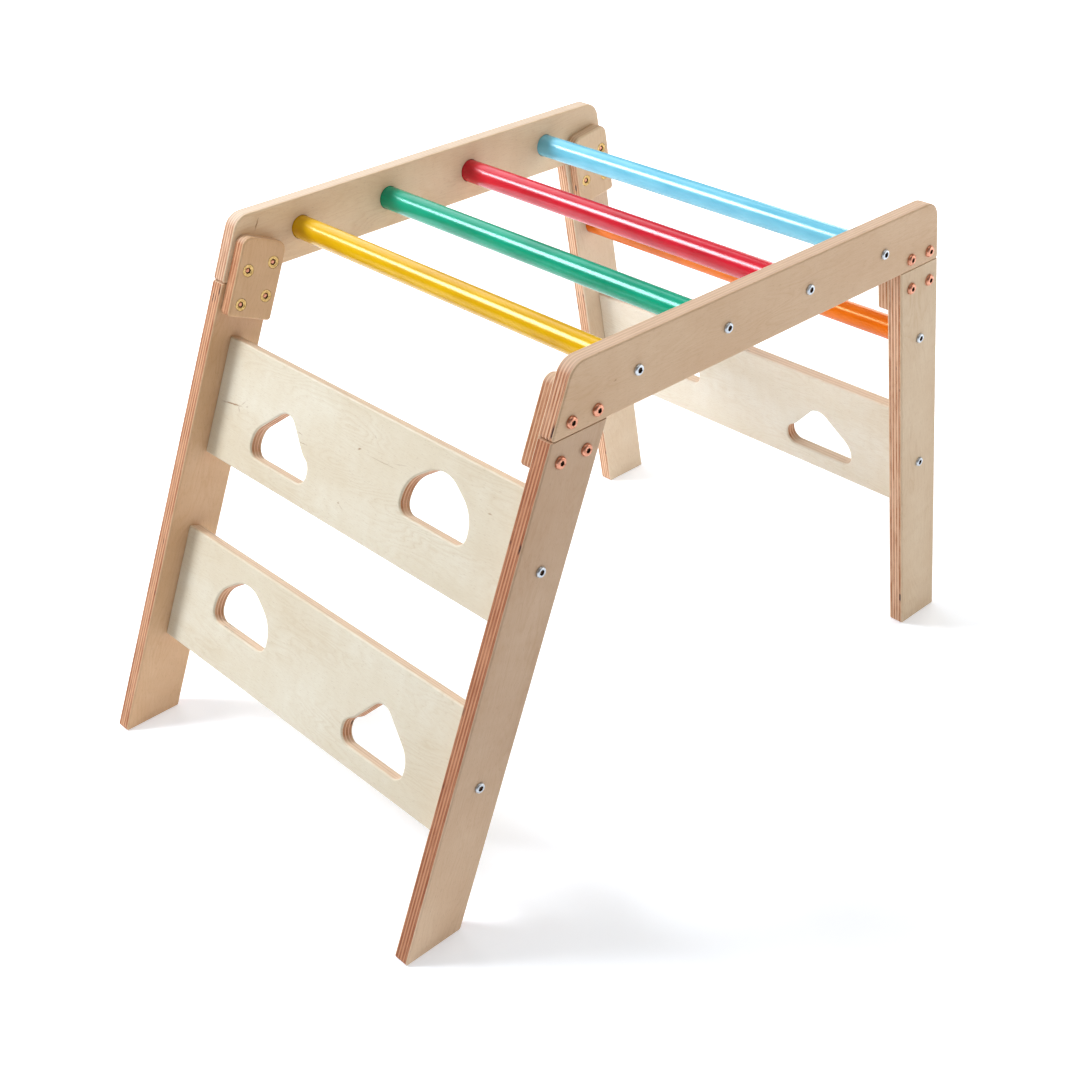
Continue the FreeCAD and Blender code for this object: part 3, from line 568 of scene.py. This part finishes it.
# %% [markdown]
# ## Painted rungs
#
# The rungs are turned hardwood bars, sprayed with a gloss toy paint. Paint hides the grain's colour but not all of
# its relief: the long fibres still show as a faint ripple in the highlight, and the spray leaves a fine orange
# peel. The colour varies only a little, where the coat is thin. Real gloss is white. Here it is tinted towards the
# colour, strongly on yellow, orange and green, because these lights would wash the paints out. One function makes
# the paint, and a table gives each rung its colours.

# %% Paint for the rungs

RUNG_COLOURS = {
    # name: (colour, colour where the coat is thin, tint of the gloss)
    "yellow": ("D8A800", "C89400", (1.0, 0.9, 0.4, 1.0)),
    "green": ("009C78", "008664", (0.6, 1.0, 0.95, 1.0)),
    "red": ("D2152E", "B80C22", (1.0, 0.92, 0.92, 1.0)),
    "blue": ("74C4DA", "5EB4CE", (1.0, 1.0, 1.0, 1.0)),
    "orange": ("E26A06", "D25A00", (1.0, 0.82, 0.35, 1.0)),
}
# Sizes in mm, along the rung and across it: thin places in the coat, and the fibres that show through it.
COAT_SIZE, PAINTED_FIBRE_SIZE = (45.0, 12.0, 12.0), (20.0, 1.0, 1.0)
# The orange peel's bumps for each mm, and the height of the whole relief in mm.
PEEL, PAINT_RELIEF_MM = 0.9, 0.05
GLOSS_ROUGHNESS = (0.19, 0.27)
# Each rung's pattern starts this many metres further along, so that no two rungs are alike.
RUNG_JUMP = 0.013


def gloss_toy_paint(name, colour, thin_colour, gloss, seed):
    """Sprayed gloss paint on a turned bar: clean colour, soft orange peel, faint grain under the coat."""
    material, tree, shader = new_material(name)
    space = in_millimetres(tree, centre=(RUNG_JUMP * seed, 0.0, 0.0))
    coat = add_node(tree, "VectorMath", {0: space, 1: per_mm(*COAT_SIZE)}, operation="MULTIPLY")
    thin = add_node(tree, "TexNoise", {"Vector": coat, "Scale": 1.0, "Detail": 2.0})
    share = add_node(tree, "MapRange", {0: thin, 1: 0.35, 2: 0.75})
    colours = {MIX_FACTOR: share, MIX_A: linear(colour), MIX_B: linear(thin_colour)}
    mixed = add_node(tree, "Mix", colours, data_type="RGBA")
    fibres = add_node(tree, "VectorMath", {0: space, 1: per_mm(*PAINTED_FIBRE_SIZE)}, operation="MULTIPLY")
    fibre = add_node(tree, "TexNoise", {"Vector": fibres, "Scale": 1.0, "Detail": 2.0})
    peel = add_node(tree, "TexNoise", {"Vector": space, "Scale": PEEL, "Detail": 1.0})
    height = add_node(tree, "Math", {0: fibre, 1: 0.4, 2: peel}, operation="MULTIPLY_ADD")
    bump = add_node(tree, "Bump", {"Strength": 0.25, "Distance": PAINT_RELIEF_MM * MM, "Height": height})
    smooth, roughest = GLOSS_ROUGHNESS
    rough = add_node(tree, "MapRange", {0: peel, **NOISE, 3: smooth, 4: roughest})
    look = {"Base Color": mixed, "Roughness": rough, "Normal": bump, "IOR": 1.5, "Specular Tint": gloss}
    fill_sockets(tree, shader, look)
    return material


for seed, (colour_name, (colour, thin_colour, gloss)) in enumerate(RUNG_COLOURS.items(), 1):
    nodes["rung_" + colour_name].material_slots[0].material = gloss_toy_paint(
        "gloss_toy_paint_" + colour_name, colour, thin_colour, gloss, seed
    )
print("paint on", len(RUNG_COLOURS), "rungs")

# %% [markdown]
# ## Plated screws and brass inserts
#
# The furniture screws are pressed steel with a thin plating: a copper-toned bright one at the corners, and plain
# bright zinc in the rungs and panels. The inserts in the gussets are turned from brass bar, and the ones that are
# hidden in the wood are dull zinc. Inside a key's socket a dark metal of its own is painted shade. A metal has no
# colour under its reflection, so its base colour is the tint of that reflection. Its roughness changes with the fine
# marks of the tumbling barrel, and patches of tarnish make it darker.

# %% Metals

METALS = {
    # name: (bright tone, tarnished tone, roughness where it is smoothest)
    "copper_toned_plated_steel": ("E6A488", "B4745A", 0.3),
    "bright_zinc_plated_steel": ("D6DCE2", "B4BCC4", 0.34),
    "dull_zinc_plated_steel": ("B9BCBC", "8E9292", 0.4),
    # Painted shade: a dark metal inside a screw's socket.
    "painted_shade_in_the_socket": ("7A6050", "4A3A30", 0.55),
    "turned_brass": ("D9B779", "A98347", 0.26),
    # Painted shade: a dark brass inside an insert's drive and bore.
    "painted_shade_in_the_drive": ("6E5430", "4A381E", 0.5),
}
# Patches of tarnish and tumbling marks for each mm, how much rougher the marks are, and how deep they are in mm.
TARNISH, TUMBLING, TUMBLED_ROUGHER, TUMBLED_RELIEF_MM = 0.35, 3.0, 0.12, 0.02


def plated_metal(name, bright, dull, roughness):
    """Bright plating or turned brass: tinted reflections, broken by fine tumbling marks and a little tarnish."""
    material, tree, shader = new_material(name)
    space = in_millimetres(tree)
    tarnish = add_node(tree, "TexNoise", {"Vector": space, "Scale": TARNISH, "Detail": 3.0})
    share = add_node(tree, "MapRange", {0: tarnish, 1: 0.4, 2: 0.7})
    colours = {MIX_FACTOR: share, MIX_A: linear(bright), MIX_B: linear(dull)}
    mixed = add_node(tree, "Mix", colours, data_type="RGBA")
    tumbling = add_node(tree, "TexNoise", {"Vector": space, "Scale": TUMBLING, "Detail": 2.0})
    rough = {0: tumbling, **NOISE, 3: roughness, 4: roughness + TUMBLED_ROUGHER}
    rough = add_node(tree, "MapRange", rough)
    bump = add_node(tree, "Bump", {"Strength": 0.15, "Distance": TUMBLED_RELIEF_MM * MM, "Height": tumbling})
    fill_sockets(tree, shader, {"Base Color": mixed, "Roughness": rough, "Normal": bump, "Metallic": 1.0})
    return material


metals = {name: plated_metal(name, *look) for name, look in METALS.items()}
print(len(metals), "metals")

# %% [markdown]
# ## Hidden dowels and inserts
#
# The dowels beside each panel screw stop the panel from turning. They are glued in and can't be seen, and neither
# can the inserts in the ends of the rungs and panels. They still get a material of their own. For the dowels it is
# beech, pinker than birch, with short dark flecks along the grain.

# %% Materials for what is hidden

# Flecks for each mm, along the frame's width and across it, and their relief in mm.
FLECKS, FLECK_RELIEF_MM = (0.3, 2.0, 2.0), 0.1


def plain_beech(name):
    """Unfinished beech: matt, pinkish, with short ray flecks."""
    material, tree, shader = new_material(name)
    stretched = add_node(tree, "VectorMath", {0: in_millimetres(tree), 1: FLECKS}, operation="MULTIPLY")
    fleck = add_node(tree, "TexNoise", {"Vector": stretched, "Scale": 1.0, "Detail": 2.0})
    share = add_node(tree, "MapRange", {0: fleck, 1: 0.5, 2: 0.7})
    colours = {MIX_FACTOR: share, MIX_A: linear("DDB48C"), MIX_B: linear("A9744C")}
    mixed = add_node(tree, "Mix", colours, data_type="RGBA")
    bump = add_node(tree, "Bump", {"Strength": 0.3, "Distance": FLECK_RELIEF_MM * MM, "Height": fleck})
    fill_sockets(tree, shader, {"Base Color": mixed, "Normal": bump, "Roughness": 0.7})
    return material


hidden = {
    # CAD nodes that start so: material
    "rung_inserts": metals["dull_zinc_plated_steel"],
    "panel_inserts": metals["dull_zinc_plated_steel"],
    "panel_dowels": plain_beech("plain_beech"),
}
for name, node in nodes.items():
    for start, material in hidden.items():
        if name.startswith(start):
            node.material_slots[0].material = material
print("materials on", sum(name.startswith(tuple(hidden)) for name in nodes), "hidden nodes")

# %% [markdown]
# ## Turning by hand
#
# A screw and an insert are turned parts: every cut across them is a circle. Such a part could be spun from a drawn
# outline, or built up ring by ring, as here: a circle is added at the first place, then extruded and scaled to each
# next radius and height. Its two ends are filled, which makes a closed solid. Sockets and bores are then cut out of
# it, as a punch and a drill do, because a hexagon's corners don't line up with a round head's rings.

# %% Helpers for turned parts

SIDES = 48
# In mm: a broken edge on metal, and the smallest step that keeps two surfaces from lying in one plane.
BROKEN_EDGE, CLEAR = 0.25, 0.02
# How far a cutter stands out of the solid, in mm, so that it cuts right through the surface.
PROUD = 1.0
SMOOTH_UNDER = math.radians(32)


def select_where(test):
    """In edit mode, select the vertices whose place passes the test, and the edges between them."""
    mesh = bmesh.from_edit_mesh(bpy.context.object.data)
    for vertex in mesh.verts:
        vertex.select = test(vertex.co / MM)
    mesh.select_flush(True)
    bmesh.update_edit_mesh(bpy.context.object.data)


def radius_of(place):
    """How far a place is from the upright axis."""
    return math.hypot(place.x, place.y)


def walk_ring(steps):
    """Extrude the selected ring from the first (radius, height) through each next one, in mm."""
    for (radius, height), (next_radius, next_height) in zip(steps, steps[1:]):
        rise = (next_height - height) * MM
        bpy.ops.mesh.extrude_edges_move(TRANSFORM_OT_translate={"value": (0.0, 0.0, rise)})
        share = next_radius / radius
        bpy.ops.transform.resize(value=(share, share, 1.0), center_override=(0.0, 0.0, next_height * MM))


def new_turned(name, outline):
    """A new solid whose skin follows the outline from its lower end to its upper end."""
    bpy.ops.object.select_all(action="DESELECT")
    radius, height = outline[0]
    bpy.ops.mesh.primitive_circle_add(vertices=SIDES, radius=radius * MM, location=(0.0, 0.0, height * MM))
    made = bpy.context.object
    made.name = name
    bpy.ops.object.transform_apply(location=True, rotation=False, scale=False)
    bpy.ops.object.mode_set(mode="EDIT")
    walk_ring(outline)
    bpy.ops.mesh.edge_face_add()
    select_where(lambda place: place.z < height + CLEAR / 2)
    bpy.ops.mesh.edge_face_add()
    bpy.ops.mesh.select_all(action="SELECT")
    bpy.ops.mesh.normals_make_consistent(inside=False)
    bpy.ops.object.mode_set(mode="OBJECT")
    return made


def cut_hole(made, sides, low_radius, high_radius, low, high):
    """Cut a hole along the axis, straight or tapered, as a drill or a punch would."""
    bpy.ops.object.select_all(action="DESELECT")
    bpy.ops.mesh.primitive_cone_add(
        vertices=sides,
        radius1=low_radius * MM,
        radius2=high_radius * MM,
        depth=(high - low) * MM,
        location=(0.0, 0.0, (low + high) / 2 * MM),
    )
    cutter = bpy.context.object
    hole = made.modifiers.new("hole", "BOOLEAN")
    hole.operation = "DIFFERENCE"
    hole.solver = "EXACT"
    hole.object = cutter
    bpy.context.view_layer.objects.active = made
    bpy.ops.object.modifier_apply(modifier=hole.name)
    bpy.data.objects.remove(cutter)


def cut_hexagon(made, across_flats, depth, top):
    """Punch a key's hexagon down from the top, with a broken edge round its mouth."""
    corner = across_flats / 2 / math.cos(math.radians(30))
    cut_hole(made, 6, corner, corner, top - depth, top + PROUD)
    cut_hole(made, 6, corner - CLEAR, corner + 2 * BROKEN_EDGE, top - BROKEN_EDGE, top + BROKEN_EDGE)


def finish_turned(made, outer, inner, dark_from, dark_to, dark_within):
    """Give faces between two heights and within a radius the inner metal, which is painted shade, and smooth what is
    round.
    """
    made.data.materials.append(metals[outer])
    made.data.materials.append(metals[inner])
    for face in made.data.polygons:
        centre = face.center / MM
        inside = dark_from < centre.z < dark_to and radius_of(centre) < dark_within
        face.material_index = 1 if inside else 0
    bpy.ops.object.select_all(action="DESELECT")
    made.select_set(True)
    bpy.context.view_layer.objects.active = made
    bpy.ops.object.shade_smooth_by_angle(angle=SMOOTH_UNDER)
    return made


print("turned parts have", SIDES, "sides")

# %% [markdown]
# ## Button-head furniture screws
#
# Every joint is pulled tight by M6 button-head screws with a hexagon key socket, made by pressing a head on wire.
# Their domes catch the softboxes as a bright ring round a dark hexagon, which is what the eye reads as a screw at
# this size. So the head gets a true dome, a narrow flat land and a broken edge at the socket, and the socket gets a
# dark metal as painted shade. The underside sits flat on the wood. The shank is plain, because it is never seen.
#
# A screw is modelled once for each kind, pointing up, then copied to each CAD screw's axis and turned outwards. The
# screws at the corners have a bigger, rounder head and a smaller key than the ones in the rungs and panels.

# %% Model the screws

SHANK_RADIUS = 3.0
# The straight side of the head under its dome, in mm.
RIM = 0.7
# Head radius, head height, radius of the flat land, key width across flats, key depth.
CORNER_HEAD = (6.0, 3.3, 3.5, 4.4, 2.1)
END_HEAD = (5.25, 2.6, 3.8, 5.0, 1.8)
SCREWS = {
    # CAD nodes that start so: (length under the head, head, plating, material slot)
    "corner_bolts": (32.0, CORNER_HEAD, "copper_toned_plated_steel", "coppered_steel"),
    "rung_bolts": (40.0, END_HEAD, "bright_zinc_plated_steel", "zinc_plated_steel"),
    "panel_bolts": (45.0, END_HEAD, "bright_zinc_plated_steel", "zinc_plated_steel"),
}


def dome(radius, height, land, steps=7):
    """The head's outline from its rim to its land."""
    turns = [math.pi / 2 * i / steps for i in range(steps + 1)]
    return [(land + (radius - land) * math.cos(turn), RIM + (height - RIM) * math.sin(turn)) for turn in turns]


def model_screw(name, length, head, plating):
    """A screw on the Z axis, its bearing face at height 0 and its head above."""
    radius, height, land, key_width, key_depth = head
    # The tip of the thread is rounded off.
    shank = [(1.7, -length), (2.0, 0.15 - length), (SHANK_RADIUS, 1.3 - length), (SHANK_RADIUS, 0.0)]
    rim = [(radius - BROKEN_EDGE, 0.0), (radius, BROKEN_EDGE)]
    made = new_turned(name, shank + rim + dome(radius, height, land))
    cut_hexagon(made, key_width, key_depth, height)
    # The punch leaves a shallow cone at the bottom of the socket, 0.6 mm deep.
    floor = height - key_depth
    cut_hole(made, 6, 0.1, key_width / 2, floor - 0.6, floor + CLEAR / 2)
    # The socket's walls and floor get the dark metal: painted shade.
    return finish_turned(made, plating, "painted_shade_in_the_socket", 0.0, height - 0.3, key_width / 2 + 0.4)


screws = {start: model_screw(start + "_pattern", *kind[:3]) for start, kind in SCREWS.items()}
for screw in screws.values():
    print(screw.name, len(screw.data.polygons), "faces")

# %% [markdown]
# ## Flanged inserts in the gussets
#
# Behind each corner screw a brass insert is wound into the gusset with a hexagon key, until its flange sits flush
# in its counterbore. Inside the hexagon the end of the screw shows. The flange is dished a little, so it reads as
# a bright ring with a darker middle. It is turned like the screw, its hexagon is cut 5 mm deep, and the bore that
# the screw goes through is cut from end to end.

# %% Model the insert

# All in mm. The flange's outer face is at height 0.
FLANGE_RADIUS, FLANGE_THICKNESS = 6.5, 1.2
BARREL_RADIUS, BARREL_END = 4.5, -13.2
BORE_RADIUS = 3.06
DRIVE_WIDTH, DRIVE_DEPTH = 6.0, 5.0
DISH_RADIUS, DISH_FLOOR = 4.3, -0.35


def model_insert(name):
    """An insert on the Z axis, its flange's outer face at height 0 and its barrel below."""
    under, rim = -FLANGE_THICKNESS, FLANGE_RADIUS - BROKEN_EDGE
    barrel = [(BARREL_RADIUS, BARREL_END), (BARREL_RADIUS, under)]
    flange = [(rim, under), (FLANGE_RADIUS, BROKEN_EDGE + under), (FLANGE_RADIUS, -BROKEN_EDGE), (rim, 0.0)]
    made = new_turned(name, barrel + flange + [(DISH_RADIUS + 0.3, 0.0), (DISH_RADIUS, DISH_FLOOR)])
    cut_hexagon(made, DRIVE_WIDTH, DRIVE_DEPTH, DISH_FLOOR)
    # The bore runs a little way into the hexagon, so that the two meet.
    cut_hole(made, SIDES, BORE_RADIUS, BORE_RADIUS, BARREL_END - PROUD, DISH_FLOOR - DRIVE_DEPTH + 0.5)
    # The drive and the bore get the dark brass: painted shade.
    return finish_turned(made, "turned_brass", "painted_shade_in_the_drive", BARREL_END + 0.1, DISH_FLOOR - 0.3, 3.6)


insert = model_insert("insert_pattern")
print(insert.name, len(insert.data.polygons), "faces")

# %% [markdown]
# ## Putting the hardware in place
#
# The CAD keeps each joint's screws in one node. Grouping that node's vertices by nearness gives each screw's axis,
# and the boxes of a rail and a gusset give the faces that they sit on. The pattern is copied with a mesh of its own
# and laid on its side there. Nobody lines up the keys when tightening screws, so each copy is turned about its own
# axis by a random angle. Copies that stand for one CAD node are joined into one piece, and the patterns are removed
# at the end.

# %% Copy the hardware

dice = random.Random(7)
# A hexagon looks the same after a sixth of a turn.
KEY_TURN = math.radians(60)
# Vertices less than this many mm from a screw's first vertex belong to that screw.
SCREW_REACH = 14.0


def axes_in(name):
    """The middle of each screw or insert in a CAD node, seen along its axis."""
    groups = []
    for vertex in nodes[name].data.vertices:
        place = Vector((vertex.co.y, vertex.co.z))
        group = next((found for found in groups if (found[0] - place).length < SCREW_REACH * MM), None)
        if group is None:
            groups.append([place])
        else:
            group.append(place)
    middles = []
    for group in groups:
        ys, zs = [place.x for place in group], [place.y for place in group]
        middles.append(((min(ys) + max(ys)) / 2, (min(zs) + max(zs)) / 2))
    return sorted(middles)


def place_hardware(pattern, name, base_x, outwards):
    """Copy the pattern to every axis in a CAD node, facing outwards (1) or inwards (-1) along X."""
    bpy.ops.object.select_all(action="DESELECT")
    copies = []
    for y, z in axes_in(name):
        copied = pattern.copy()
        copied.data = pattern.data.copy()
        turn = Matrix.Rotation(math.radians(90) * outwards, 4, "Y")
        spin = Matrix.Rotation(dice.uniform(0.0, KEY_TURN), 4, "Z")
        copied.data.transform(Matrix.Translation((base_x, y, z)) @ turn @ spin)
        scene.collection.objects.link(copied)
        copied.select_set(True)
        copies.append(copied)
    bpy.context.view_layer.objects.active = copies[0]
    bpy.ops.object.join()
    piece = bpy.context.object
    piece.name = name.replace("bolts", "screws").replace("inserts", "brass")
    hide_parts(name)
    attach(piece, "root")


scene = bpy.context.scene
wood_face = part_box("rail_right")[1].x
gusset_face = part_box("gusset_front_right")[0].x
for name in sorted(nodes):
    side = 1 if name.endswith("right") else -1
    for start, (*_, slot) in SCREWS.items():
        if name.startswith(start):
            place_hardware(screws[start], name, side * wood_face, side)
    if name.startswith("gusset_inserts"):
        place_hardware(insert, name, side * gusset_face, -side)
for pattern in [*screws.values(), insert]:
    bpy.data.objects.remove(pattern)

# %% [markdown]
# ## The floor
#
# A product like this is shown on a seamless pale floor. It could be a curved backdrop, but one wide sheet of matt
# paper does as well when the camera looks down. Paper turns grey away from the lights, so this sheet also glows a
# little, like a light table, and more so far away. It lies just under the feet.

# %% Floor

# In metres: the sheet's width, and how far it lies under the feet.
SHEET_SIZE, SHEET_DROP = 30.0, 0.0002
# The glow grows from the first distance in metres to the second, from the first strength to the second.
GLOW_REACH, GLOW, GLOW_COLOUR = (0.6, 3.0), (0.3, 0.9), (0.88, 1.0, 1.14, 1.0)

bpy.ops.object.select_all(action="DESELECT")
bpy.ops.mesh.primitive_plane_add(size=SHEET_SIZE, location=(0.0, 0.0, cad_box[0].z - SHEET_DROP))
sheet = bpy.context.object
sheet.name = "studio_floor"

paper, tree, shader = new_material("matt_white_paper")
clouds = add_node(tree, "TexNoise", {"Scale": 3.0, "Detail": 2.0})
whites = {MIX_FACTOR: clouds, MIX_A: linear("FBFBFB"), MIX_B: linear("F8F8F8")}
white = add_node(tree, "Mix", whites, data_type="RGBA")
place = add_node(tree, "TexCoord")
reach = add_node(tree, "VectorMath", {0: place.outputs["Object"]}, operation="LENGTH")
glow = {0: reach.outputs["Value"], 1: GLOW_REACH[0], 2: GLOW_REACH[1], 3: GLOW[0], 4: GLOW[1]}
glow = add_node(tree, "MapRange", glow)
look = {"Base Color": white, "Roughness": 0.9, "Specular IOR Level": 0.1}
fill_sockets(tree, shader, look | {"Emission Color": GLOW_COLOUR, "Emission Strength": glow})
sheet.data.materials.append(paper)
print("floor", SHEET_SIZE, "m wide")

# %% [markdown]
# ## The lights
#
# Soft lights stand all round, as in a studio. The key light is up and to the left, and smaller than the rest, so
# the rungs carry long bright highlights and each foot throws a soft shadow to the right. The others fill in. The
# world is a dim warm white, which stands for what the walls bounce back, so shadows on the wood are warm while the
# softboxes on the left are cool.

# %% Lights

WALL_COLOUR, WALL_LIGHT = (1.0, 0.90, 0.80, 1.0), 0.17
COOL, NEUTRAL, WARM = (0.94, 1.0, 1.08), (0.98, 1.0, 1.02), (1.04, 1.0, 0.95)
LIGHTS = {
    # name: (place, size in metres, power in watts, colour)
    "key_softbox": ((-1.9, -1.35, 2.35), 1.0, 97.0, COOL),
    "left_softbox": ((-2.2, 0.8, 2.0), 1.8, 24.0, COOL),
    "overhead_softbox": ((0.0, 0.0, 2.8), 1.8, 19.0, NEUTRAL),
    "right_softbox": ((2.0, 2.2, 1.2), 1.8, 23.0, WARM),
    "rear_softbox": ((-0.8, 2.8, 1.4), 1.8, 30.0, WARM),
}

world = bpy.data.worlds.new("studio_walls")
world.use_nodes = True
walls = world.node_tree
fill_sockets(walls, walls.nodes["Background"], {"Color": WALL_COLOUR, "Strength": WALL_LIGHT})
scene.world = world

frame_middle = (cad_box[0] + cad_box[1]) / 2
for light_name, (place, size, power, colour) in LIGHTS.items():
    data = bpy.data.lights.new(light_name, "AREA")
    data.shape = "SQUARE"
    data.size = size
    data.energy = power
    data.color = colour
    lamp = bpy.data.objects.new(light_name, data)
    lamp.location = place
    # A light shines down its own Z axis, so that axis points back from the frame to the light.
    lamp.rotation_euler = (Vector(place) - frame_middle).to_track_quat("Z", "Y").to_euler()
    scene.collection.objects.link(lamp)
# The plain view keeps the paints as clean as they are mixed.
scene.view_settings.view_transform = "Standard"
print(len(LIGHTS), "softboxes")

# %% [markdown]
# ## The camera
#
# The camera stands at the front right, about twice as high as the frame, and looks down on it. So it shows the
# ladder of panels, all five rungs and the right side's screws in one view.

# %% Camera

LENS, SENSOR_WIDTH = 53.598, 36.0
# In metres, and in degrees about X, Y and Z.
CAMERA_PLACE, CAMERA_TURN = (1.1010, -1.0193, 1.1156), (57.6457, 1.2994, 46.3881)

camera_data = bpy.data.cameras.new("camera")
camera_data.lens = LENS
camera_data.sensor_width = SENSOR_WIDTH
# It sees twice as far as the sheet is wide.
camera_data.clip_end = 2 * SHEET_SIZE
camera = bpy.data.objects.new("camera", camera_data)
camera.location = CAMERA_PLACE
camera.rotation_euler = [math.radians(angle) for angle in CAMERA_TURN]
scene.collection.objects.link(camera)
scene.camera = camera
print("camera at", camera.location[:])
